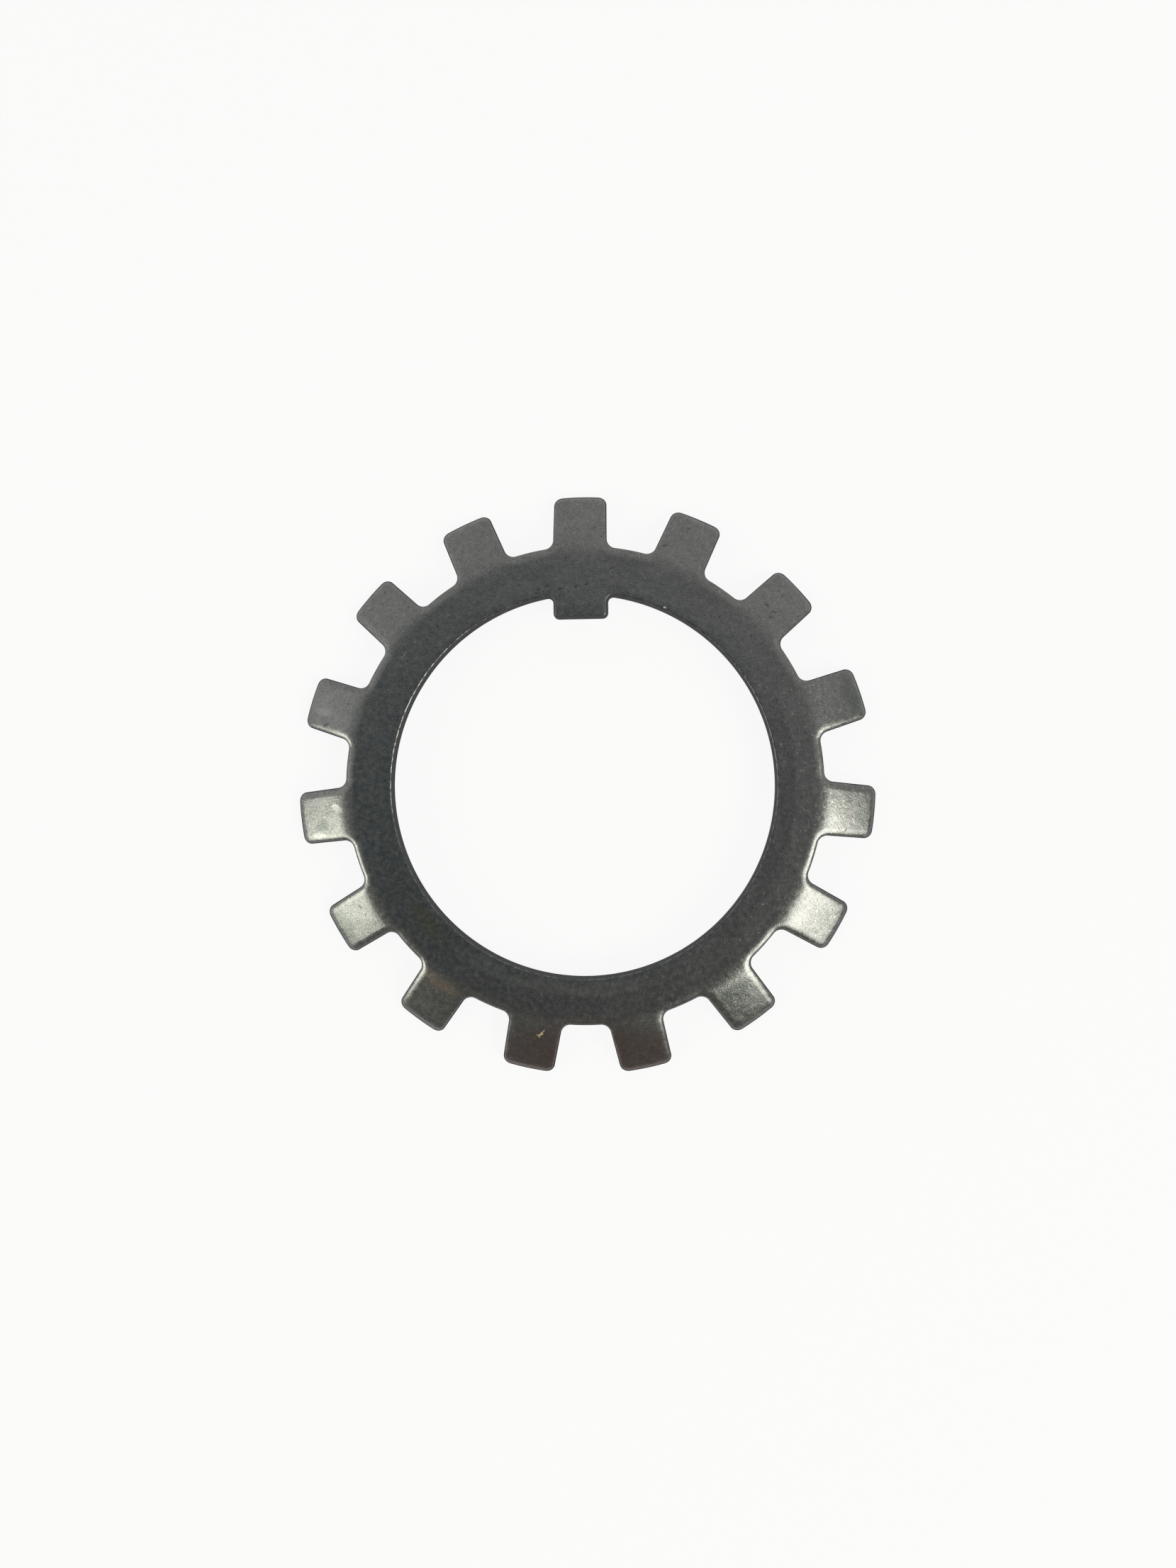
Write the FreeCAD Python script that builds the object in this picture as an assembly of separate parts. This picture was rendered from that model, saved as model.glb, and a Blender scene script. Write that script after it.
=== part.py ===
import FreeCAD, Part
import math
import os

from FreeCAD import Vector

# A tab lock washer for a 40 mm threaded shaft, stamped in one piece from steel sheet.
# The frame: the origin is on the shaft's axis in the plane of the bearing side, the ring's
# upper face. +Z points away from the bent tabs and +Y along the inner tongue.
# Lengths are in millimetres and angles in degrees.

# The flat blank
thickness = 1.25
bore_d = 40.0
root_d = 50.0            # circle through the floors of the notches
tip_d = 62.0             # circle through the tab tips before they are bent
tab_count = 15
tab_width = 5.6
root_fillet_r = 1.0      # in both corners of a notch
tip_corner_r = 0.95      # on both corners of a tab

# The tongue that runs in the shaft's groove
tongue_width = 5.75      # free in a groove 6 mm wide
tongue_reach = 37.5      # from the tongue's tip to the bore's far wall
tongue_corner_r = 0.6
tongue_fillet_r = 0.55   # where the tongue leaves the bore

# The bend of the tabs
bend_angle = 23.0
bend_inner_r = 3.0       # on the hollow side of the bend
bend_lead = 0.5          # how far inside the notch floors the bend starts

# The edges that the press leaves
rim_bevel = 0.32         # rolled edge round the blank, on the bearing side
bore_bevel = 0.12        # rolled edge round the bore, on the nut side
torn_depth = 0.7         # height of the torn band of the bore, below the bearing side
torn_width = 0.2         # by which the torn band opens outwards

# Worked out from the sizes above
bore_r = bore_d / 2
root_r = root_d / 2
tongue_tip_y = tongue_reach - bore_r
bend_start_r = root_r - bend_lead
bend_outer_r = bend_inner_r + thickness
bend_middle_r = bend_inner_r + thickness / 2
bend_length = math.radians(bend_angle) * bend_middle_r
straight_length = tip_d / 2 - bend_start_r - bend_length
tab_pitch = 360.0 / tab_count
tongue_direction = 90.0
first_notch = tongue_direction + tab_pitch / 2

# A tab that lies along +X: its slope, the way its upper face looks and its bend's axis
along_tab = Vector(math.cos(math.radians(bend_angle)), 0, -math.sin(math.radians(bend_angle)))
outwards = Vector(-along_tab.z, 0, along_tab.x)
bend_centre = Vector(bend_start_r, 0, -bend_outer_r)

# A rolled edge stays inside the bent strip at a notch floor, the tab's corner and the sheet
rim_roll = min(rim_bevel, 0.8 * bend_lead, 0.6 * tip_corner_r, 0.45 * thickness)
bore_roll = min(bore_bevel, 0.6 * tongue_corner_r, 0.2 * thickness)
torn_height = min(torn_depth, 0.7 * thickness)

# Cutting shapes run this far past the sheet
clear = 2.0

# Edges this close to a height count as lying at it
at_height = 1e-4


def turned(x, y, angle):
    """The point x, y turned by angle about the shaft's axis."""
    a = math.radians(angle)
    return Vector(x * math.cos(a) - y * math.sin(a), x * math.sin(a) + y * math.cos(a), 0)


def line(start, end):
    return Part.LineSegment(start, end).toShape()


def short_arc(start, centre, end):
    """The arc from start to end about centre, the short way round."""
    middle = (start - centre) + (end - centre)
    middle.normalize()
    return Part.Arc(start, centre + middle * (start - centre).Length, end).toShape()


def bent_section():
    """Half the section of the disc: flat from the axis, then the bend and the straight rim,
    which runs past the tab tips."""
    top_axis = Vector(0, 0, 0)
    top_start = Vector(bend_start_r, 0, 0)
    top_end = bend_centre + outwards * bend_outer_r
    top_rim = top_end + along_tab * (straight_length + clear)
    low_rim = top_rim - outwards * thickness
    low_end = bend_centre + outwards * bend_inner_r
    low_start = Vector(bend_start_r, 0, -thickness)
    low_axis = Vector(0, 0, -thickness)

    return Part.Face(Part.Wire([
        line(top_axis, top_start),
        short_arc(top_start, bend_centre, top_end),
        line(top_end, top_rim),
        line(top_rim, low_rim),
        line(low_rim, low_end),
        short_arc(low_end, bend_centre, low_start),
        line(low_start, low_axis),
        line(low_axis, top_axis),
    ]))


def bent_disc():
    """The sheet with its rim bent down all round. Its seam runs along the middle of a tab."""
    disc = bent_section().revolve(Vector(0, 0, 0), Vector(0, 0, 1), 360)
    disc.rotate(Vector(0, 0, 0), Vector(0, 0, 1), tongue_direction)
    return disc


def notch(direction):
    """The gap between two tabs: a floor on the root circle, a fillet in each corner and
    sides that run along the tabs."""
    half_tab = tab_width / 2
    fillet_y = half_tab + root_fillet_r
    fillet_x = math.sqrt((root_r + root_fillet_r) ** 2 - fillet_y ** 2)
    to_floor = root_r / (root_r + root_fillet_r)
    mouth_x = tip_d / 2 + 2 * clear

    left = direction + tab_pitch / 2
    left_mouth = turned(mouth_x, -half_tab, left)
    left_side = turned(fillet_x, -half_tab, left)
    left_centre = turned(fillet_x, -fillet_y, left)
    left_floor = left_centre * to_floor

    right = direction - tab_pitch / 2
    right_mouth = turned(mouth_x, half_tab, right)
    right_side = turned(fillet_x, half_tab, right)
    right_centre = turned(fillet_x, fillet_y, right)
    right_floor = right_centre * to_floor

    outline = Part.Wire([
        line(left_mouth, left_side),
        short_arc(left_side, left_centre, left_floor),
        short_arc(left_floor, Vector(0, 0, 0), right_floor),
        short_arc(right_floor, right_centre, right_side),
        line(right_side, right_mouth),
        line(right_mouth, left_mouth),
    ])
    height = tip_d / 2 - root_r + thickness + 3 * clear
    gap = Part.Face(outline).extrude(Vector(0, 0, height))
    gap.translate(Vector(0, 0, clear - height))
    return gap


def with_notches(disc):
    notches = [notch(first_notch + i * tab_pitch) for i in range(tab_count)]
    return disc.cut(notches)


def beyond_tip(direction):
    """What is cut off round the end of a tab, square to its bent sheet: all that lies past
    the blank's tip circle and past the two rounded corners."""
    tip_r = tip_d / 2
    half_tab = tab_width / 2
    corner_y = half_tab - tip_corner_r
    corner_x = math.sqrt((tip_r - tip_corner_r) ** 2 - corner_y ** 2)
    to_tip = tip_r / (tip_r - tip_corner_r)
    near_x = corner_x - tip_corner_r
    far_x = tip_r + 2 * clear
    far_y = half_tab + tip_corner_r
    tab_end = bend_centre + outwards * bend_outer_r + along_tab * straight_length
    circle_centre = tab_end - along_tab * tip_r

    def point(x, y):
        """A point of the tab's upper face, x along the tab from its tip circle's centre."""
        return circle_centre + along_tab * x + Vector(0, y, 0)

    def corner(side):
        """A straight stretch of the tab's side and the rounded corner that follows it."""
        on_side = point(corner_x, side * half_tab)
        on_tip = point(corner_x * to_tip, side * corner_y * to_tip)
        centre = point(corner_x, side * corner_y)
        stretch = line(point(near_x, side * half_tab), on_side)
        return on_tip, [stretch, short_arc(on_side, centre, on_tip)]

    left_tip, left_edges = corner(1)
    right_tip, right_edges = corner(-1)
    outline = Part.Wire([
        *left_edges,
        short_arc(left_tip, circle_centre, right_tip),
        *right_edges[::-1],
        line(point(near_x, -half_tab), point(near_x, -far_y)),
        line(point(near_x, -far_y), point(far_x, -far_y)),
        line(point(far_x, -far_y), point(far_x, far_y)),
        line(point(far_x, far_y), point(near_x, far_y)),
        line(point(near_x, far_y), point(near_x, half_tab)),
    ])
    height = thickness + 2 * clear
    waste = Part.Face(outline).extrude(outwards * height)
    waste.translate(outwards * (clear - height))
    waste.rotate(Vector(0, 0, 0), Vector(0, 0, 1), direction)
    return waste


def with_tips(disc):
    ends = [beyond_tip(tongue_direction + i * tab_pitch) for i in range(tab_count)]
    return disc.cut(ends)


def faces_up(face):
    u0, u1, v0, v1 = face.ParameterRange
    return face.normalAt((u0 + u1) / 2, (v0 + v1) / 2).z > 0.5


def rim_edges(washer):
    """The outline's edges on the bearing side: those that border one upward face only."""
    edges = [e for face in washer.Faces if faces_up(face) for e in face.Edges]
    return [e for e in edges if sum(e.isSame(other) for other in edges) == 1]


def bore_outline(z, growth):
    """The bore with its tongue at height z, with every wall moved into the sheet by growth."""
    radius = bore_r + growth
    half = tongue_width / 2 - growth
    tip_y = tongue_tip_y + growth
    fillet_x = half + tongue_fillet_r
    fillet_y = math.sqrt((radius - tongue_fillet_r) ** 2 - fillet_x ** 2)
    to_bore = radius / (radius - tongue_fillet_r)

    def side(sign):
        """One side of the tongue, from the bore to the tip."""
        fillet_centre = Vector(sign * fillet_x, fillet_y, z)
        on_bore = Vector(sign * fillet_x * to_bore, fillet_y * to_bore, z)
        top = Vector(sign * half, fillet_y, z)
        bottom = Vector(sign * half, tip_y + tongue_corner_r, z)
        corner_centre = Vector(sign * (half - tongue_corner_r), tip_y + tongue_corner_r, z)
        on_tip = Vector(sign * (half - tongue_corner_r), tip_y, z)
        edges = [
            short_arc(on_bore, fillet_centre, top),
            line(top, bottom),
            short_arc(bottom, corner_centre, on_tip),
        ]
        return on_bore, on_tip, edges

    right_bore, right_tip, right_edges = side(1)
    left_bore, left_tip, left_edges = side(-1)
    round_wall = Part.Arc(left_bore, Vector(0, -radius, z), right_bore).toShape()
    edges = [round_wall] + right_edges + [line(right_tip, left_tip)] + left_edges[::-1]
    return Part.Wire(edges)


def with_bore(washer):
    """A straight hole, and above it the torn band that opens towards the bearing side."""
    low = -thickness - clear
    straight = Part.Face(bore_outline(low, 0)).extrude(Vector(0, 0, clear - low))
    above = torn_height / 2
    widest = torn_width * (torn_height + above) / torn_height
    rims = [bore_outline(-torn_height, 0), bore_outline(above, widest)]
    torn = Part.makeLoft(rims, True, True)
    return washer.cut([straight, torn])


def low_bore_edges(washer):
    """The bore's edges on the nut side."""
    def on_bore(edge):
        box = edge.BoundBox
        flat = max(abs(box.ZMin + thickness), abs(box.ZMax + thickness)) < at_height
        reach = max(math.hypot(v.X, v.Y) for v in edge.Vertexes)
        return flat and reach < bore_r + torn_width
    return [edge for edge in washer.Edges if on_bore(edge)]


def lock_washer():
    washer = with_tips(with_notches(bent_disc()))
    washer = washer.makeChamfer(rim_roll, rim_edges(washer))
    washer = with_bore(washer)
    return washer.makeChamfer(bore_roll, low_bore_edges(washer))


os.makedirs("parts", exist_ok=True)
shape = lock_washer()
shape.exportStep("parts/lock_washer.step")
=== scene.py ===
import math

import bpy
import numpy as np
from mathutils import Matrix, Vector


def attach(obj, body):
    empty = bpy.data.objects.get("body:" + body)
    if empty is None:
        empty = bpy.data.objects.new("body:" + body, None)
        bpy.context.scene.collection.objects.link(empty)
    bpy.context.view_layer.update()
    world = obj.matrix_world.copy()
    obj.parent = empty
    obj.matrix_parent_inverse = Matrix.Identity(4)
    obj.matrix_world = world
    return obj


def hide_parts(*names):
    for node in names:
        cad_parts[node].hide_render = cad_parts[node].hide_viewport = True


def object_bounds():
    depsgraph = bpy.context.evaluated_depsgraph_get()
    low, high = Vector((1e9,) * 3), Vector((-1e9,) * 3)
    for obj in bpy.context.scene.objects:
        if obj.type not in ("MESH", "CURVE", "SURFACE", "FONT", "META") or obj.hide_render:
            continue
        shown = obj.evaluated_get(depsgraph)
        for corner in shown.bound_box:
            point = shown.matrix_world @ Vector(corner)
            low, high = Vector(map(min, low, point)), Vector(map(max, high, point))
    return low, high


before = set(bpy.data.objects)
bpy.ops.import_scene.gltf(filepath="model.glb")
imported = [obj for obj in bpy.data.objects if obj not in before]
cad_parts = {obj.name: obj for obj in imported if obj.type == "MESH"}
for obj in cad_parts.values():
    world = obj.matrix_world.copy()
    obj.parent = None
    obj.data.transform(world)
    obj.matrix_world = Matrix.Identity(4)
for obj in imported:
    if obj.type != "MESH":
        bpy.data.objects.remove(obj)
cad_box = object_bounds()

# A tab lock washer for a 40 mm threaded shaft, stamped from steel sheet, bearing side up.
# Meshes are worked out in millimetres with the tongue along +X, then turned by TONGUE_TURN
# and scaled to metres.
MM = 0.001
TONGUE_TURN = 90.0

# The flat blank
THICKNESS = 1.25
BORE_R = 20.0
ROOT_R = 25.0
TIP_R = 30.97            # short of the solid's 31, so that the wavy rim stays inside it
TAB_COUNT = 15
TAB_HALF = 2.8
ROOT_FILLET_R = 1.0
TIP_CORNER_R = 0.95

# The tongue in the bore
TONGUE_HALF = 2.875
TONGUE_TIP = 17.5
TONGUE_CORNER_R = 0.6
TONGUE_FILLET_R = 0.55

# How the sheet slopes down, in degrees, at radii of the flat blank: a bend at the root of
# the tabs, which then curve a little further towards their tips
SLOPE_R = [23.9, 24.4, 25.1, 25.6, 26.2, 27.5, 31.0]
SLOPE = [0.0, 2.5, 10.5, 17.0, 20.5, 22.0, 25.0]

# The section of the rim, from the bearing side to the nut side. Each row: how far it lies
# inside the outline, its height, and how far it is a cut wall, torn, rolled over and part of
# the bearing side
RIM_SECTION = np.array([
    [0.84, 0.0, 0, 0, 0.2, 1],
    [0.70, -0.008, 0, 0, 0.6, 1],
    [0.55, -0.024, 0, 0, 1, 1],
    [0.42, -0.045, 0, 0, 1, 1],
    [0.31, -0.072, 0, 0, 1, 1],
    [0.22, -0.103, 0, 0, 1, 1],
    [0.14, -0.142, 0, 0, 1, 1],
    [0.08, -0.185, 0, 0, 1, 1],
    [0.03, -0.25, 0.4, 0, 1, 1],
    [0.0, -0.34, 0.8, 0, 1, 0],
    [0.0, -0.8, 1, 0, 1, 0],
    [0.01, -1.1, 1, 1, 1, 0],
    [0.03, -1.21, 1, 1, 1, 0],
    [0.07, -1.25, 0.3, 0, 0, 0],
])

# The section of the bore, from the nut side to the bearing side, in the same way, and then
# how far it is a burr and how ragged it is
BORE_SECTION = np.array([
    [0.14, -1.25, 0.3, 0, 0.6, 0, 0, 0],
    [0.09, -1.235, 0.3, 0, 0.8, 0, 0, 0],
    [0.03, -1.18, 0.3, 0, 0.8, 0, 0, 0],
    [0.0, -1.1, 0.3, 0, 0.8, 0, 0, 0],
    [0.0, -0.72, 0.3, 0, 0.8, 0, 0, 0],
    [0.02, -0.66, 1, 0.8, 0.3, 0, 0, 1],
    [0.07, -0.40, 1, 1, 0, 0, 0, 1],
    [0.12, -0.17, 1, 1, 0, 0, 0, 1],
    [0.16, -0.09, 1, 1, 0, 0, 0, 1],
    [0.20, -0.045, 0.5, 0.3, 0, 1, 0.6, 1],
    [0.245, -0.018, 0, 0, 0, 1, 1, 1],
    [0.29, -0.005, 0, 0, 0, 1, 0.5, 0.5],
    [0.34, 0.0, 0, 0, 0, 1, 0, 0],
])

# How uneven the press leaves them: a share of the rim's section, and in mm for the torn band
RIM_WAVE = 0.03
TORN_WAVE = 0.010

# The outlines: how many points each arc and straight line of them has
LINE_POINTS = 200

# The mesh: a circle in the middle of the ring, the steps from it to the bore and to the rim,
# and how far apart the stations are round the ring, by length and by turn
MIDDLE_R = 22.3
TOP_STEPS_IN, TOP_STEPS_OUT = 3, 20
LOW_STEPS_IN, LOW_STEPS_OUT = 2, 10
STATION_MM = 0.36
STATION_TURN = 15.0

# Where the mesh lines from the tongue meet that circle, in degrees from the tongue's middle:
# those of its middle, of both ends of its corner and of its fillet, and the last one aside
TONGUE_FAN = [0, 3.6, 4.6, 6.0, 8.0, 16.0]

# Painted shade: a rolled or cut edge is darkened in its colour as it leans over, from the first
# angle to the second. Shading breaks where two faces meet at more than the third.
STEEP_FROM, STEEP_TO = 34.0, 52.0
SHARP_ANGLE = 50.0

# Single marks on the bearing side: x, y, angle, length, width, strength and colour
MARKS = [
    # Pits and scale above the tongue
    (-4.3, 20.6, 30, 0.5, 0.35, 0.45, "#2c2e2f"),
    (-3.5, 20.9, 20, 0.6, 0.4, 0.5, "#343637"),
    (-2.0, 20.6, 10, 0.9, 0.35, 0.5, "#343637"),
    (-1.2, 20.3, 70, 0.5, 0.3, 0.4, "#343637"),
    (-0.4, 20.8, 0, 0.7, 0.35, 0.6, "#2c2e2f"),
    (0.6, 21.0, 15, 0.5, 0.3, 0.45, "#343637"),
    (-2.2, 19.9, 40, 0.6, 0.35, 0.4, "#343637"),
    (3.4, 22.6, 15, 0.9, 0.35, 0.4, "#5a3f3c"),
    (2.2, 26.0, 40, 0.35, 0.25, 0.8, "#2c2e2f"),
    # Pits and scuffs on the upper tabs and on the one at the left
    (-21.0, 20.85, 60, 0.5, 0.20, 0.45, "#4a4c4b"),
    (-20.2, 20.9, 50, 0.4, 0.18, 0.4, "#4a4c4b"),
    (-27.4, 6.8, 30, 1.4, 0.6, 0.45, "#3c403f"),
    (-28.6, 6.2, 15, 1.2, 0.5, 0.4, "#3c403f"),
    (-27.6, 8.2, -15, 3.2, 1.1, 0.22, "#c2c6bd"),
    (8.9, 24.9, 0, 0.8, 0.4, 0.45, "#343637"),
    (11.4, 26.9, 30, 0.5, 0.35, 0.4, "#343637"),
    (13.3, 27.4, 60, 0.5, 0.35, 0.4, "#343637"),
    (19.4, 18.5, -40, 0.7, 0.35, 0.45, "#343637"),
    (20.1, 17.8, -20, 0.8, 0.4, 0.45, "#343637"),
    (19.8, 17.2, 10, 0.6, 0.35, 0.4, "#343637"),
    (21.1, 19.5, -50, 0.6, 0.35, 0.45, "#343637"),
    (20.7, 20.2, 20, 0.5, 0.3, 0.4, "#343637"),
    # Patches on the bright tabs, mostly painted shade over their outer parts and painted light
    # nearer their roots, among real dull patches, and a rusty scratch on one of them
    (-27.8, -3.9, 20, 2.0, 1.5, 0.45, "#56605b"),
    (-26.0, -2.1, -30, 1.8, 1.1, 0.45, "#c2c6bd"),
    (-28.3, -5.0, 5, 2.2, 0.8, 0.4, "#c2c6bd"),
    (-25.6, -14.8, -60, 5.6, 2.4, 0.38, "#56605b"),
    (-23.8, -12.5, -45, 1.0, 0.3, 0.5, "#3c403f"),
    (15.6, -21.5, 36, 5.2, 2.4, 0.40, "#56605b"),
    (29.3, -3.1, 84, 5.6, 2.4, 0.38, "#56605b"),
    (26.4, -2.8, 84, 5.0, 2.0, 0.12, "#d0d0cc"),
    (28.1, 9.1, -72, 5.6, 2.4, 0.38, "#56605b"),
    (27.3, -5.0, 60, 0.8, 0.18, 0.9, "#3a2422"),
    (26.9, -5.2, 20, 0.6, 0.16, 0.6, "#8a5a50"),
    # Oil on the ring and a warm stain at the root of a tab, at the lower left
    (-16.6, -14.0, -52, 6.6, 2.1, 0.36, "#86825a"),
    (-15.2, -20.7, -33, 5.6, 2.2, 0.30, "#c0a88e"),
    # Painted shade along the bore on the right and painted light along its bottom, in place of
    # the reflections of a slightly domed ring
    (20.6, 5.5, 105, 12.0, 2.2, 0.22, "#4a4c4c"),
    (21.2, -1.9, 85, 12.0, 2.2, 0.30, "#4a4c4c"),
    (19.3, -9.0, 65, 12.0, 2.2, 0.26, "#4a4c4c"),
    (15.8, -14.3, 48, 9.0, 1.8, 0.15, "#4a4c4c"),
    (-10.0, -18.8, -28, 11.0, 1.9, 0.28, "#b6b6b3"),
    (-3.7, -20.9, -10, 11.0, 1.9, 0.28, "#b6b6b3"),
    (2.6, -21.1, 7, 11.0, 1.9, 0.28, "#b6b6b3"),
    # A reddish stain over the lower tabs
    (0.0, -28.2, 0, 26.0, 8.8, 0.62, "#7a6562"),
]

# Dry dust and slivers on the bearing side, given in the same way
DUST = [
    (-18.58, 13.96, 60, 1.5, 0.22, 0.45, "#9a917a"),
    (-18.3, 12.5, -80, 1.8, 0.15, 0.25, "#9a917a"),
    (-4.78, -26.0, 35, 0.8, 0.30, 0.9, "#d8c08c"),
    (-4.50, -25.75, 80, 0.8, 0.20, 0.8, "#c9b07c"),
    (-5.05, -26.2, -50, 0.8, 0.18, 0.8, "#c9b07c"),
    (16.3, -18.2, 30, 0.45, 0.32, 0.7, "#a9a18b"),
    (8.75, 18.35, -30, 0.42, 0.30, 0.8, "#e4e4e0"),
]


def arc(centre, radius, start, end, side):
    """Points on a circle from the angle start to the angle end, in degrees. Each row is
    x, y and the unit normal that leaves the metal: outwards from the circle's centre where
    side is 1, and towards it where side is -1."""
    angle = np.radians(np.linspace(start, end, LINE_POINTS))
    radial = np.stack([np.cos(angle), np.sin(angle)], axis=1)
    return np.hstack([np.array(centre) + radius * radial, side * radial])


def straight(start, end, normal):
    """Points on a straight line from start to end, each with the same normal."""
    share = np.linspace(0, 1, LINE_POINTS)[:, None]
    points = np.array(start) * (1 - share) + np.array(end) * share
    return np.hstack([points, np.broadcast_to(normal, points.shape)])


def mirrored(half):
    """The outline that comes before half: its image in the x axis, in reverse."""
    return half[::-1] * [1, -1, 1, -1]


def turned(outline, angle):
    """The outline with its points and normals turned about the axis by angle degrees."""
    c, s = math.cos(math.radians(angle)), math.sin(math.radians(angle))
    turn = np.array([[c, s], [-s, c]])
    return np.hstack([outline[:, :2] @ turn, outline[:, 2:] @ turn])


def tab_outline():
    """Half a tab and half a notch, anticlockwise from the tab's middle: the tip circle, the
    rounded corner, the straight side, the fillet at the root and the notch's floor."""
    corner_y = TAB_HALF - TIP_CORNER_R
    corner_x = math.sqrt((TIP_R - TIP_CORNER_R) ** 2 - corner_y ** 2)
    corner_angle = math.degrees(math.atan2(corner_y, corner_x))
    fillet_y = TAB_HALF + ROOT_FILLET_R
    fillet_x = math.sqrt((ROOT_R + ROOT_FILLET_R) ** 2 - fillet_y ** 2)
    fillet_angle = math.degrees(math.atan2(fillet_y, fillet_x))
    return np.vstack([
        arc((0, 0), TIP_R, 0, corner_angle, 1),
        arc((corner_x, corner_y), TIP_CORNER_R, corner_angle, 90, 1),
        straight((corner_x, TAB_HALF), (fillet_x, TAB_HALF), (0, 1)),
        arc((fillet_x, fillet_y), ROOT_FILLET_R, -90, fillet_angle - 180, -1),
        arc((0, 0), ROOT_R, fillet_angle, 180 / TAB_COUNT, 1),
    ])


def bore_outline():
    """Half the bore, anticlockwise from the tongue's middle: the tongue's tip, its corner,
    its side, the fillet at its root and the round wall."""
    corner_x = TONGUE_TIP + TONGUE_CORNER_R
    corner_y = TONGUE_HALF - TONGUE_CORNER_R
    fillet_y = TONGUE_HALF + TONGUE_FILLET_R
    fillet_x = math.sqrt((BORE_R - TONGUE_FILLET_R) ** 2 - fillet_y ** 2)
    fillet_angle = math.degrees(math.atan2(fillet_y, fillet_x))
    return [
        straight((TONGUE_TIP, 0), (TONGUE_TIP, corner_y), (-1, 0)),
        arc((corner_x, corner_y), TONGUE_CORNER_R, 180, 90, 1),
        straight((corner_x, TONGUE_HALF), (fillet_x, TONGUE_HALF), (0, 1)),
        arc((fillet_x, fillet_y), TONGUE_FILLET_R, -90, fillet_angle, -1),
        arc((0, 0), BORE_R, fillet_angle, 180, -1),
    ]


def steps(outline):
    """The length and the turn, in degrees, from the outline's start to each of its points."""
    length = np.hypot(*np.diff(outline[:, :2], axis=0).T)
    turn = np.degrees(np.hypot(*np.diff(outline[:, 2:], axis=0).T))
    return np.cumsum(np.append(0, length)), np.cumsum(np.append(0, turn))


def whole_rim(roll):
    """The blank's outer outline all round, and the polar angle of each point after it is
    moved into the metal by roll, which grows steadily along the outline."""
    half = tab_outline()
    tab = np.vstack([mirrored(half), half])
    others = [turned(tab, i * 360 / TAB_COUNT) for i in range(1, TAB_COUNT)]
    rim = np.vstack([half, *others, mirrored(half)])
    inside = rim[:, :2] - roll * rim[:, 2:]
    return rim, np.degrees(np.unwrap(np.arctan2(inside[:, 1], inside[:, 0])))


def whole_bore():
    """The bore's outline all round, and the angle on the ring's middle circle that each
    point is joined to: the polar angle, but squeezed together beside the tongue, so that
    the mesh lines fan out from the tongue's sides without crossing."""
    parts = bore_outline()
    half = np.vstack(parts)
    length, _ = steps(half)
    ends = length[np.cumsum([len(p) for p in parts]) - 1]
    polar = np.degrees(np.arctan2(half[:, 1], half[:, 0]))
    wall = slice(-LINE_POINTS, None)
    free_length = np.interp(TONGUE_FAN[-1], polar[wall], length[wall])
    joined = np.interp(length, [0, *ends[:4], free_length], TONGUE_FAN)
    joined = np.where(length > free_length, polar, joined)
    bore = np.vstack([half, mirrored(half)])
    return bore, np.append(joined, 360 - joined[::-1])


def stations(rim, rim_angle, bore, bore_angle):
    """Angles all round the ring, spaced evenly by the sum of the lengths and turns that
    both outlines go through. Lengths along the bore count half."""
    fine = np.linspace(0, 360, 200001)
    effort = np.zeros_like(fine)
    for outline, angle, spread in ((rim, rim_angle, 1.0), (bore, bore_angle, 2.0)):
        length, turn = steps(outline)
        effort += np.interp(fine, angle, length / (STATION_MM * spread) + turn / STATION_TURN)
    effort -= effort[0]
    count = round(effort[-1])
    return np.interp(np.arange(count) * effort[-1] / count, effort, fine)


def at(angle, outline, outline_angle):
    """The points and unit normals of an outline at the given angles."""
    rows = np.stack([np.interp(angle, outline_angle, column) for column in outline.T], axis=1)
    return rows[:, :2], rows[:, 2:] / np.linalg.norm(rows[:, 2:], axis=1)[:, None]


def ripple(angle, lowest, highest, seed):
    """An uneven wave round the ring, mostly between -1 and 1: the sum of sines with every
    whole number of waves from lowest to highest, each with its own phase, over the square
    root of how many they are."""
    waves = np.arange(lowest, highest + 1)
    phase = np.random.default_rng(seed).uniform(0, 2 * np.pi, len(waves))
    total = np.sin(np.radians(angle)[:, None] * waves + phase).sum(axis=1)
    return total / math.sqrt(len(waves))


def bent(points):
    """Carries points of the flat blank round the bend. In each plane through the axis the
    sheet's middle layer keeps its length: its radius and height are the sums of the cosine
    and the sine of the slope along it. A point off the middle layer stays square to it."""
    flat = np.linspace(SLOPE_R[0], SLOPE_R[-1] + 1, 4000)
    slope = np.radians(np.interp(flat, SLOPE_R, SLOPE))
    step = flat[1] - flat[0]
    middle_r = flat[0] + np.append(0, np.cumsum(np.cos(slope[:-1]) * step))
    middle_z = -THICKNESS / 2 - np.append(0, np.cumsum(np.sin(slope[:-1]) * step))

    radius = np.hypot(points[..., 0], points[..., 1])
    lean = np.interp(radius, flat, slope)
    above = points[..., 2] + THICKNESS / 2
    outside = np.interp(radius, flat, middle_r)
    new_radius = np.where(radius < flat[0], radius, outside) + above * np.sin(lean)
    height = np.interp(radius, flat, middle_z) + above * np.cos(lean)
    scale = new_radius / radius
    return np.stack([points[..., 0] * scale, points[..., 1] * scale, height], axis=-1)


def between(start, end, count):
    """Rows of points from start to end, without both of these, in equal steps."""
    share = np.arange(1, count)[:, None, None] / count
    return start * (1 - share) + end * share


def section(point, normal, insets, heights):
    """Rows of points moved from the outline into the metal by insets, at heights."""
    flat = point[None] - insets[..., None] * normal[None]
    return np.dstack([flat, np.broadcast_to(heights, insets.shape)])


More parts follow.
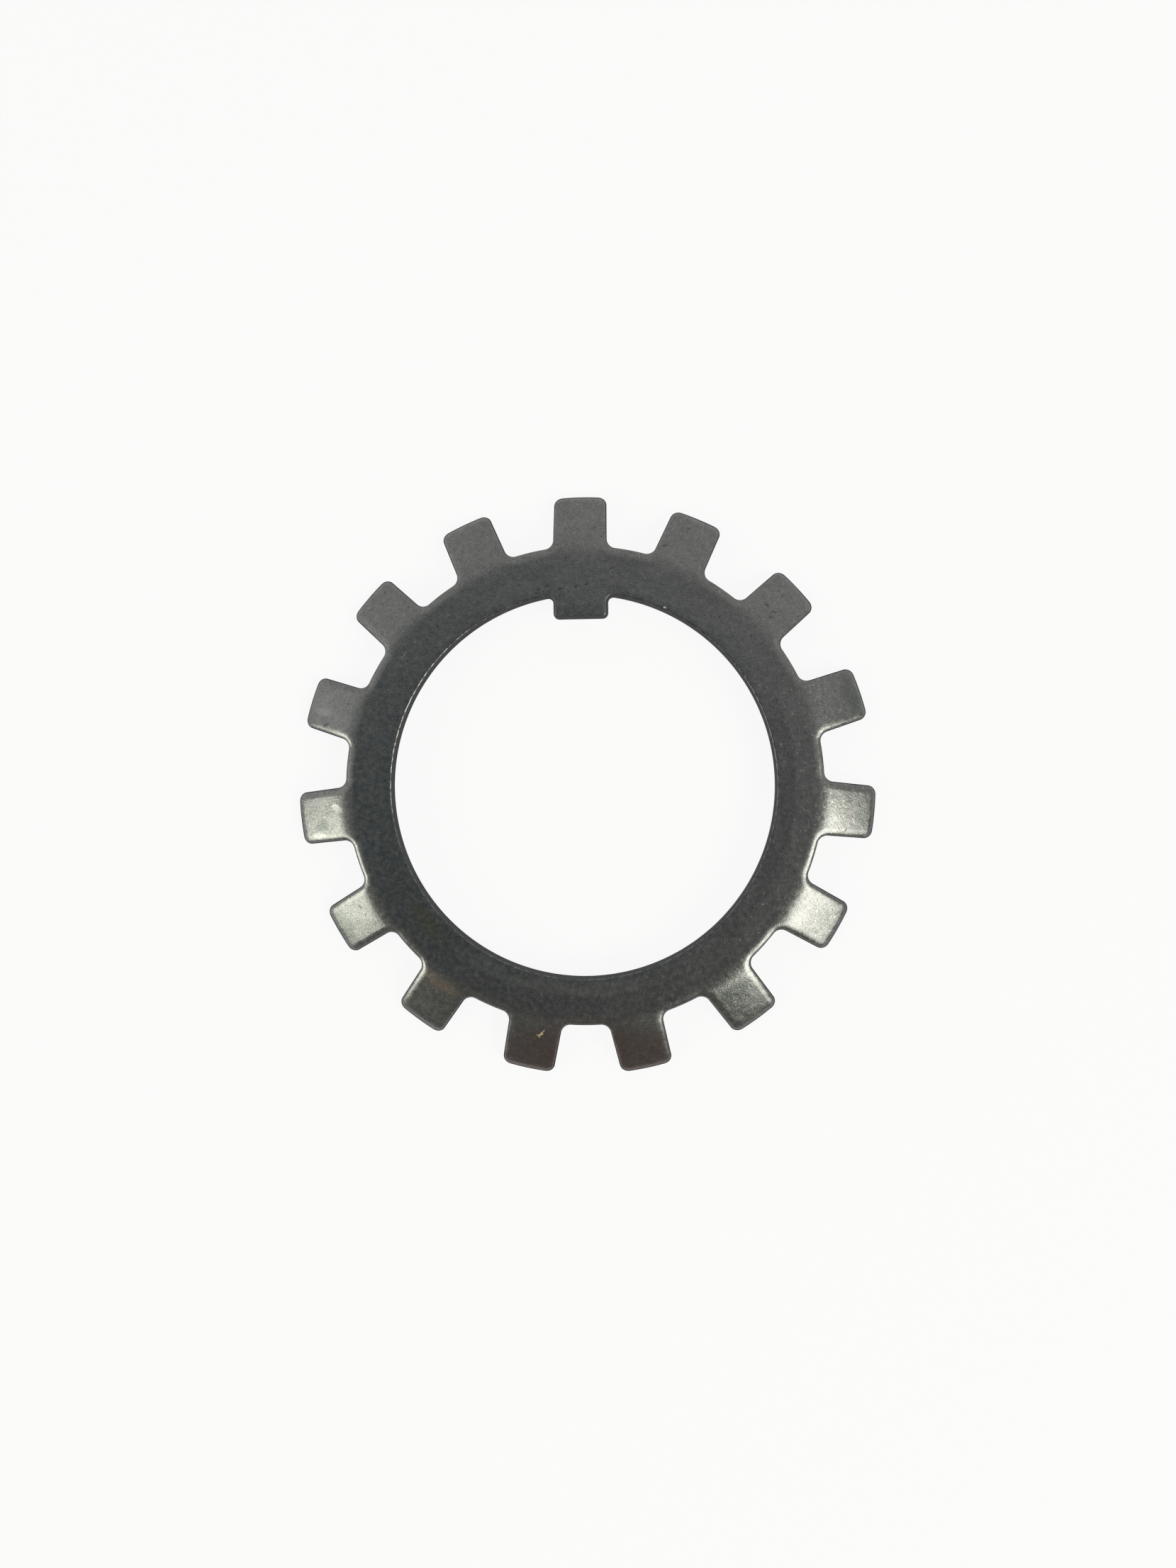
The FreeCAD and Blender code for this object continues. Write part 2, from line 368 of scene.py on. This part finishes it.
def washer_grid():
    """The whole surface as rows round the ring. Its section is one closed loop: out along
    the bearing side, round the rolled rim, down the cut wall, back along the nut side and up
    the bore, whose wall is smooth below and torn above. Gives the points and, for each, how
    far it is a cut wall, a torn one, a shiny burr, a rolled edge or the bearing side."""
    rim_inset, rim_height, rim_cut, rim_torn, rim_rolled, rim_upper = RIM_SECTION.T[..., None]
    (bore_inset, bore_height, bore_cut, bore_torn, bore_rolled, bore_upper,
     burr, ragged) = BORE_SECTION.T[..., None]

    rim, rim_angle = whole_rim(RIM_SECTION[0, 0])
    bore, bore_angle = whole_bore()
    angle = stations(rim, rim_angle, bore, bore_angle)
    rim_wave = 1 + RIM_WAVE * ripple(angle, 5, 60, 1)
    rim_rows = section(*at(angle, rim, rim_angle), rim_inset * rim_wave, rim_height)
    torn_wave = ragged * TORN_WAVE * ripple(angle, 40, 220, 2)
    bore_rows = section(*at(angle, bore, bore_angle), bore_inset + torn_wave, bore_height)

    # Painted shade dims the burr's highlight at the tongue, up to 9 degrees from its middle,
    # through the cut wall's darker colour; from 10 on it shines
    by_tongue = np.clip((np.cos(np.radians(angle)) - 0.984) / 0.004, 0, 1)
    shiny = burr * (1 - by_tongue)
    bore_cut = bore_cut + 0.5 * burr * by_tongue

    turn = np.radians(angle)
    top_ring = np.stack([MIDDLE_R * np.cos(turn), MIDDLE_R * np.sin(turn), 0 * turn], axis=1)
    low_ring = top_ring - [0, 0, THICKNESS]
    rows = np.concatenate([
        between(bore_rows[-1], top_ring, TOP_STEPS_IN), top_ring[None],
        between(top_ring, rim_rows[0], TOP_STEPS_OUT), rim_rows,
        between(rim_rows[-1], low_ring, LOW_STEPS_OUT), low_ring[None],
        between(low_ring, bore_rows[0], LOW_STEPS_IN), bore_rows,
    ])
    rim_start = TOP_STEPS_IN + TOP_STEPS_OUT - 1

    def spread(rim_values, bore_values, top_value=0):
        """The value of every point of the grid: top_value on the bearing side and 0 on the
        nut side."""
        values = np.zeros(rows.shape[:2])
        values[:rim_start] = top_value
        values[rim_start:rim_start + len(rim_rows)] = rim_values
        values[-len(bore_rows):] = bore_values
        return values

    return bent(rows), {
        "cut": spread(rim_cut, bore_cut),
        "torn": spread(rim_torn, bore_torn),
        "shiny": spread(0, shiny),
        "rolled": spread(rim_rolled, bore_rolled),
        "upper": spread(rim_upper, bore_upper, 1),
    }


def steepness(grid):
    """How far each point's surface leans over: 0 up to STEEP_FROM degrees from flat and 1
    past STEEP_TO, from the cross product of the steps to the next row and station."""
    along = np.roll(grid, -1, axis=0) - np.roll(grid, 1, axis=0)
    round_ring = np.roll(grid, -1, axis=1) - np.roll(grid, 1, axis=1)
    normal = np.cross(along, round_ring)
    lean = np.degrees(np.arccos(np.abs(normal[..., 2]) / np.linalg.norm(normal, axis=-1)))
    return np.clip((lean - STEEP_FROM) / (STEEP_TO - STEEP_FROM), 0, 1)


def closed_mesh(name, grid, marks):
    """A mesh of quads between neighbouring rows and neighbouring stations of the grid. Both
    ways the last meets the first. Each entry in marks gives the points a value that the
    material reads."""
    row_count, station_count = grid.shape[:2]
    index = np.arange(row_count * station_count).reshape(row_count, station_count)
    next_row = np.roll(index, -1, axis=0)
    next_station = np.roll(index, -1, axis=1)
    both = np.roll(next_row, -1, axis=1)
    quads = np.stack([index, next_row, both, next_station], axis=-1).reshape(-1, 4)

    a = math.radians(TONGUE_TURN)
    turn = np.array([[math.cos(a), math.sin(a), 0], [-math.sin(a), math.cos(a), 0], [0, 0, 1]])
    points = grid.reshape(-1, 3) @ turn * MM
    mesh = bpy.data.meshes.new(name)
    mesh.from_pydata(points.tolist(), [], quads.tolist())
    for mark, values in marks.items():
        layer = mesh.attributes.new(mark, "FLOAT", "POINT")
        layer.data.foreach_set("value", values.ravel().astype(np.float32))
    mesh.shade_smooth()
    mesh.set_sharp_from_angle(angle=math.radians(SHARP_ANGLE))
    mesh.validate()
    return mesh


def linear(code):
    """An sRGB hex colour as linear red, green, blue and an alpha of 1."""
    channels = [int(code[i:i + 2], 16) / 255 for i in (1, 3, 5)]
    return [c / 12.92 if c <= 0.04045 else ((c + 0.055) / 1.055) ** 2.4 for c in channels] + [1]


def add(tree, kind, inputs, **settings):
    """Adds a node with its settings. inputs gives each socket, by name or number, a value or
    the output that is linked to it."""
    node = tree.nodes.new(kind)
    for name, value in settings.items():
        setattr(node, name, value)
    for socket, value in inputs.items():
        if isinstance(value, bpy.types.NodeSocket):
            tree.links.new(value, node.inputs[socket])
        else:
            node.inputs[socket].default_value = value
    return node


def per_mm(size):
    """The scale at which a pattern's features are about size millimetres wide."""
    return 1 / (size * MM)


def spot(tree, place, x, y, angle, length, width):
    """An oval patch about x, y in millimetres, turned by angle, with an edge as even as place
    is: 1 inside, falling smoothly to 0 at its edge."""
    local = add(tree, "ShaderNodeMapping", {
        "Vector": place, "Location": (x * MM, y * MM, 0), "Rotation": (0, 0, math.radians(angle)),
        "Scale": (length / 2 * MM, width / 2 * MM, 1)}, vector_type="TEXTURE").outputs[0]
    away = add(tree, "ShaderNodeVectorMath", {0: local}, operation="LENGTH").outputs["Value"]
    return add(tree, "ShaderNodeMapRange", {0: away, 1: 1.0, 2: 0.4},
               interpolation_type="SMOOTHSTEP").outputs[0]


def tinted(tree, colour, mask, share, tint):
    """The colour mixed towards tint by mask times share."""
    some = add(tree, "ShaderNodeMath", {0: mask, 1: share}, operation="MULTIPLY").outputs[0]
    return add(tree, "ShaderNodeMix", {0: some, 6: colour, 7: linear(tint)},
               data_type="RGBA").outputs[2]


def specks(tree, place, spacing, size, share):
    """Small specks, spacing millimetres apart and size across, as round as place is even: in
    each cell of a scattered grid the distance to its point, kept in share of the cells."""
    cells = add(tree, "ShaderNodeTexVoronoi", {"Vector": place, "Scale": per_mm(spacing)})
    near = add(tree, "ShaderNodeMapRange", {
        0: cells.outputs["Distance"], 1: size / spacing / 2, 2: size / spacing / 5}).outputs[0]
    lot = add(tree, "ShaderNodeSeparateColor", {0: cells.outputs["Color"]}).outputs[0]
    chosen = add(tree, "ShaderNodeMath", {0: lot, 1: share}, operation="LESS_THAN").outputs[0]
    return add(tree, "ShaderNodeMath", {0: near, 1: chosen}, operation="MULTIPLY").outputs[0]


def steel():
    """Mild steel sheet, cold rolled, stamped and tumbled, with a film of oil: dark grey, with
    a fine matted grain that breaks up its reflections, and cut edges left darker by the press.
    Its colour also holds painted shade and painted highlights: on leaning edges, along the
    burr, on the ring's right and bottom and on the bright tabs."""
    material = bpy.data.materials.new("tumbled_mild_steel")
    material.use_nodes = True
    tree = material.node_tree
    shader = tree.nodes["Principled BSDF"]
    place = add(tree, "ShaderNodeTexCoord", {}).outputs["Object"]
    cut, torn, steep, shiny, rolled, upper = (
        add(tree, "ShaderNodeAttribute", {}, attribute_name=name).outputs["Fac"]
        for name in ("cut", "torn", "steep", "shiny", "rolled", "upper"))

    # The grain: pits about 0.15 mm wide, short dark scratches and, on the lower half, long
    # pale hairlines, on faint clouds
    grain = add(tree, "ShaderNodeTexNoise", {
        "Vector": place, "Scale": per_mm(0.15), "Detail": 3.0, "Roughness": 0.65}).outputs["Fac"]
    short = add(tree, "ShaderNodeMapping", {
        "Vector": place, "Rotation": (0, 0, math.radians(-35)), "Scale": (1.8, 1.0, 1.0)},
        vector_type="TEXTURE").outputs[0]
    dashes = add(tree, "ShaderNodeTexNoise", {
        "Vector": short, "Scale": per_mm(0.28), "Detail": 1.0, "Distortion": 0.4}).outputs["Fac"]
    dashes = add(tree, "ShaderNodeMapRange", {0: dashes, 1: 0.56, 2: 0.74},
                 interpolation_type="SMOOTHSTEP").outputs[0]
    long = add(tree, "ShaderNodeMapping", {
        "Vector": place, "Rotation": (0, 0, math.radians(75)), "Scale": (7.0, 1.0, 1.0)},
        vector_type="TEXTURE").outputs[0]
    hairs = add(tree, "ShaderNodeTexNoise", {
        "Vector": long, "Scale": per_mm(0.22), "Detail": 1.0, "Distortion": 0.3}).outputs["Fac"]
    hairs = add(tree, "ShaderNodeMapRange", {0: hairs, 1: 0.62, 2: 0.76}).outputs[0]
    worn = spot(tree, place, 4, -23, 0, 50, 22)
    hairs = add(tree, "ShaderNodeMath", {0: hairs, 1: worn}, operation="MULTIPLY").outputs[0]
    mottle = add(tree, "ShaderNodeTexNoise", {
        "Vector": place, "Scale": per_mm(0.55), "Detail": 2.0, "Roughness": 0.5}).outputs["Fac"]
    cloud = add(tree, "ShaderNodeTexNoise", {
        "Vector": place, "Scale": per_mm(3.0), "Detail": 2.0}).outputs["Fac"]

    # A shift of up to a quarter of a millimetre that gives specks and marks ragged edges
    ragged = add(tree, "ShaderNodeTexNoise", {
        "Vector": place, "Scale": per_mm(0.5), "Detail": 2.0}).outputs["Color"]
    shift = add(tree, "ShaderNodeVectorMath", {0: ragged, 1: (0.5, 0.5, 0.5)},
                operation="SUBTRACT").outputs[0]
    warped = add(tree, "ShaderNodeVectorMath", {0: shift, 1: (0.5 * MM,) * 3, 2: place},
                 operation="MULTIPLY_ADD").outputs[0]

    # The colour: mottled, with dark and pale scratches and specks. The pale specks are
    # strongest on the right, where painted glints are added to the sheet's own specks.
    tone = add(tree, "ShaderNodeMath", {0: grain, 1: 0.70}, operation="MULTIPLY").outputs[0]
    tone = add(tree, "ShaderNodeMath", {0: mottle, 1: 0.17, 2: tone},
               operation="MULTIPLY_ADD").outputs[0]
    tone = add(tree, "ShaderNodeMath", {0: cloud, 1: 0.13, 2: tone},
               operation="MULTIPLY_ADD").outputs[0]
    ramp = add(tree, "ShaderNodeValToRGB", {0: tone})
    ramp.color_ramp.elements[0].position = 0.38
    ramp.color_ramp.elements[0].color = linear("#757676")
    ramp.color_ramp.elements[1].position = 0.62
    ramp.color_ramp.elements[1].color = linear("#969695")
    colour = ramp.outputs["Color"]
    colour = tinted(tree, colour, dashes, 0.18, "#3d3f3e")
    colour = tinted(tree, colour, hairs, 0.36, "#c4c5c1")
    pale = specks(tree, warped, 0.40, 0.20, 0.55)
    # Painted glints: the pale specks are strengthened on the right of the ring
    right = spot(tree, place, 20, -7, 0, 54, 52)
    right = add(tree, "ShaderNodeMapRange", {0: right, 3: 0.4, 4: 1.0}).outputs[0]
    pale = add(tree, "ShaderNodeMath", {0: pale, 1: right}, operation="MULTIPLY").outputs[0]
    colour = tinted(tree, colour, pale, 0.66, "#d4d5d1")
    dark = specks(tree, warped, 0.8, 0.24, 0.3)
    colour = tinted(tree, colour, dark, 0.6, "#303132")

    # Single marks on the bearing side: scale above the tongue, oil, scratches and dry dust, and
    # patches of painted light and shade on the ring and tabs
    plain = colour
    for x, y, angle, length, width, share, tint in MARKS:
        mask = spot(tree, warped, x, y, angle, length, width)
        colour = tinted(tree, colour, mask, share, tint)
    dusty = 0.0
    for x, y, angle, length, width, share, tint in DUST:
        mask = spot(tree, warped, x, y, angle, length, width)
        colour = tinted(tree, colour, mask, share, tint)
        cover = add(tree, "ShaderNodeMath", {0: mask, 1: share}, operation="MULTIPLY").outputs[0]
        dusty = add(tree, "ShaderNodeMath", {0: cover, 1: dusty}, operation="MAXIMUM").outputs[0]
    dusty = add(tree, "ShaderNodeMath", {0: dusty, 1: upper}, operation="MULTIPLY").outputs[0]
    colour = add(tree, "ShaderNodeMix", {0: upper, 6: plain, 7: colour},
                 data_type="RGBA").outputs[2]

    # Cut walls are darker than the sheet's faces, and torn ones darker still. Steep edges get
    # painted shade, darker as they lean over
    colour = tinted(tree, colour, steep, 0.9, "#2e3032")
    colour = tinted(tree, colour, cut, 0.65, "#3c3e3f")
    colour = tinted(tree, colour, torn, 0.4, "#2a2b2c")

    # Painted highlights: the burr round the bore is darkened, then painted bright in dashes, most
    # of all on the left
    burr_glints = add(tree, "ShaderNodeTexNoise", {
        "Vector": place, "Scale": per_mm(0.6), "Detail": 2.0}).outputs["Fac"]
    burr_glints = add(tree, "ShaderNodeMapRange", {0: burr_glints, 1: 0.46, 2: 0.54}).outputs[0]
    colour = tinted(tree, colour, shiny, 0.7, "#3c3e3f")
    left = spot(tree, place, -20, 9, 0, 34, 34)
    left = add(tree, "ShaderNodeMapRange", {0: left, 3: 0.4, 4: 1.0}).outputs[0]
    burr_glints = add(tree, "ShaderNodeMath", {0: burr_glints, 1: shiny}, operation="MULTIPLY").outputs[0]
    burr_glints = add(tree, "ShaderNodeMath", {0: burr_glints, 1: left}, operation="MULTIPLY").outputs[0]
    colour = tinted(tree, colour, burr_glints, 0.75, "#b9bab7")
    tree.links.new(colour, shader.inputs["Base Color"])

    # A cut edge stays dark at a grazing angle too, because it scatters light; on a steep edge the
    # reflection is dimmed there as painted shade
    dull_and_shaded = add(tree, "ShaderNodeMath", {0: cut, 1: 0.5}, operation="MULTIPLY").outputs[0]
    dull_and_shaded = add(tree, "ShaderNodeMath", {0: steep, 1: dull_and_shaded}, operation="MAXIMUM").outputs[0]
    grazing = tinted(tree, linear("#ffffff"), dull_and_shaded, 0.9, "#444444")
    tree.links.new(grazing, shader.inputs["Specular Tint"])

    # The film of oil leaves an even, soft gloss. Cut walls are rougher, and dust isn't metal.
    rough = add(tree, "ShaderNodeMapRange", {
        0: mottle, 1: 0.3, 2: 0.7, 3: 0.20, 4: 0.30}).outputs[0]
    rough = add(tree, "ShaderNodeMath", {0: cut, 1: 0.25, 2: rough},
                operation="MULTIPLY_ADD").outputs[0]
    tree.links.new(rough, shader.inputs["Roughness"])
    metal = add(tree, "ShaderNodeMath", {0: 1.0, 1: dusty}, operation="SUBTRACT").outputs[0]
    tree.links.new(metal, shader.inputs["Metallic"])

    # The relief, in mm, is half rubbed off on the rolled edges
    relief = add(tree, "ShaderNodeMapRange", {0: rolled, 3: 1.0, 4: 0.55}).outputs[0]
    bump = add(tree, "ShaderNodeBump", {
        "Height": grain, "Distance": 0.0145 * MM, "Strength": relief}).outputs[0]
    bump = add(tree, "ShaderNodeBump", {
        "Height": dashes, "Distance": 0.003 * MM, "Strength": relief, "Normal": bump},
        invert=True).outputs[0]
    bump = add(tree, "ShaderNodeBump", {
        "Height": mottle, "Distance": 0.009 * MM, "Strength": 1.0, "Normal": bump}).outputs[0]
    bump = add(tree, "ShaderNodeBump", {
        "Height": cloud, "Distance": 0.06 * MM, "Strength": 1.0, "Normal": bump}).outputs[0]
    tree.links.new(bump, shader.inputs["Normal"])
    return material


def washer():
    """The washer's surface, in the place of its solid."""
    grid, marks = washer_grid()
    # Painted shade on the rolled edges, by how far they lean over
    marks["steep"] = steepness(grid) * marks["rolled"]
    piece = bpy.data.objects.new("washer_surface", closed_mesh("washer_surface", grid, marks))
    bpy.context.scene.collection.objects.link(piece)
    piece.data.materials.append(steel())
    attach(piece, "root")
    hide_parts("lock_washer")


def floor():
    """A pale floor under the tab tips: a disc 4 m across. The camera sees it nearly white,
    with the washer's shadow on it, and so do reflections."""
    angle = np.radians(np.arange(0, 360, 5))
    rim = np.stack([2 * np.cos(angle), 2 * np.sin(angle), 0 * angle + cad_box[0].z], axis=1)
    mesh = bpy.data.meshes.new("floor")
    mesh.from_pydata(rim.tolist(), [], [list(range(len(rim)))])
    piece = bpy.data.objects.new("floor", mesh)
    bpy.context.scene.collection.objects.link(piece)

    # Matt paper: an even white without highlights, which still takes a soft shadow
    material = bpy.data.materials.new("pale_paper")
    material.use_nodes = True
    tree = material.node_tree
    tree.nodes.clear()
    rays = add(tree, "ShaderNodeLightPath", {}).outputs
    some = add(tree, "ShaderNodeMath", {0: rays["Is Camera Ray"], 1: rays["Is Glossy Ray"]},
               operation="MAXIMUM").outputs[0]
    seen = add(tree, "ShaderNodeMath", {0: some, 1: rays["Is Transmission Ray"]},
               operation="MAXIMUM").outputs[0]
    share = add(tree, "ShaderNodeMath", {0: seen, 1: 0.9}, operation="MULTIPLY").outputs[0]
    paper = add(tree, "ShaderNodeBsdfDiffuse", {"Color": linear("#f2f2f0")}).outputs[0]
    white = add(tree, "ShaderNodeEmission", {
        "Color": linear("#ffffff"), "Strength": 1.0}).outputs[0]
    mixed = add(tree, "ShaderNodeMixShader", {0: share, 1: paper, 2: white}).outputs[0]
    add(tree, "ShaderNodeOutputMaterial", {"Surface": mixed})
    piece.data.materials.append(material)


def softbox(name, azimuth, elevation, distance, width, height, brightness, colour):
    """A soft rectangular lamp that faces the origin, with its distance and size in metres and
    its azimuth and elevation in degrees. Brightness 1 is white."""
    lamp = bpy.data.lights.new(name, "AREA")
    lamp.shape = "RECTANGLE"
    lamp.size = width
    lamp.size_y = height
    lamp.energy = brightness * math.pi * width * height
    lamp.color = linear(colour)[:3]
    a, e = math.radians(azimuth), math.radians(elevation)
    towards = Vector((math.cos(a) * math.cos(e), math.sin(a) * math.cos(e), math.sin(e)))
    place = bpy.data.objects.new(name, lamp)
    place.location = towards * distance
    place.rotation_mode = "QUATERNION"
    place.rotation_quaternion = towards.to_track_quat("Z", "Y")
    place.visible_camera = False
    bpy.context.scene.collection.objects.link(place)


def studio():
    """A dim room, paler at its back and white at its horizon, with soft lamps low on the
    left, where a weaker one fills in, and on the right."""
    world = bpy.data.worlds.new("studio_room")
    world.use_nodes = True
    tree = world.node_tree
    tree.nodes.clear()
    way = add(tree, "ShaderNodeTexCoord", {}).outputs["Generated"]
    behind = add(tree, "ShaderNodeVectorMath", {0: way, 1: (-0.1, 0.99, 0)},
                 operation="DOT_PRODUCT").outputs["Value"]
    aside = add(tree, "ShaderNodeVectorMath", {0: way, 1: (0.62, 0.78, 0)},
                operation="DOT_PRODUCT").outputs["Value"]
    front = add(tree, "ShaderNodeVectorMath", {0: way, 1: (0.30, -0.95, 0)},
                operation="DOT_PRODUCT").outputs["Value"]
    up = add(tree, "ShaderNodeSeparateXYZ", {0: way}).outputs["Z"]
    wall_share = add(tree, "ShaderNodeMapRange", {0: behind, 1: -0.25, 2: 0.25},
                     interpolation_type="SMOOTHSTEP").outputs[0]
    ceiling_share = add(tree, "ShaderNodeMapRange", {0: aside, 1: -0.155, 2: 0.165}).outputs[0]
    front_share = add(tree, "ShaderNodeMapRange", {0: front, 1: 0.06, 2: 0.17}).outputs[0]
    height_share = add(tree, "ShaderNodeMapRange", {0: up, 1: 0.87, 2: 0.972}).outputs[0]
    paper_share = add(tree, "ShaderNodeMapRange", {0: up, 1: 0.28, 2: 0.10},
                      interpolation_type="SMOOTHSTEP").outputs[0]

    # The tabs mirror the walls, from the front's to the back's, and the flat ring mirrors
    # the ceiling, which is dim on the left, less so at the front and palest at the back right
    walls = tinted(tree, linear("#82817c"), wall_share, 1.0, "#c1c2bf")
    ceiling = tinted(tree, linear("#29464f"), front_share, 1.0, "#716c6a")
    ceiling = tinted(tree, ceiling, ceiling_share, 1.0, "#a0a1a0")
    sky = add(tree, "ShaderNodeMix", {0: height_share, 6: walls, 7: ceiling},
              data_type="RGBA").outputs[2]
    sky = tinted(tree, sky, paper_share, 1.0, "#e7e7e6")
    room = add(tree, "ShaderNodeBackground", {"Color": sky, "Strength": 1.0}).outputs[0]
    add(tree, "ShaderNodeOutputWorld", {"Surface": room})
    bpy.context.scene.world = world

    softbox("left_softbox", 198, 30, 0.6, 0.27, 0.22, 4.0, "#fdffee")
    softbox("left_fill", 160, 30, 0.6, 0.25, 0.3, 0.2, "#ffffff")
    softbox("right_softbox", 332, 42, 0.6, 0.36, 0.29, 4.5, "#fffff2")


def camera():
    """The camera of the photograph: 120 mm above the washer and a little to its right, tipped
    3 degrees to the left, with the washer turned 0.72 degrees in the picture."""
    data = bpy.data.cameras.new("camera")
    data.sensor_width = 36.0
    data.lens = 26.48
    data.clip_start = 0.01
    data.clip_end = 10.0
    tip = math.radians(-2.96)
    forward = Vector((math.sin(tip), 0, -math.cos(tip)))
    up = Vector((0, 1, 0))
    right = forward.cross(up)
    axes = Matrix((right, up, -forward)).transposed().to_4x4()
    place = Matrix.Translation(Vector((6.765, 0.175, 120.0)) * MM) @ axes
    turn = Matrix.Rotation(math.radians(-0.72), 4, "Z")
    piece = bpy.data.objects.new("camera", data)
    piece.matrix_world = turn @ place
    bpy.context.scene.collection.objects.link(piece)
    bpy.context.scene.camera = piece


washer()
floor()
studio()
camera()
bpy.context.scene.view_settings.view_transform = "Standard"
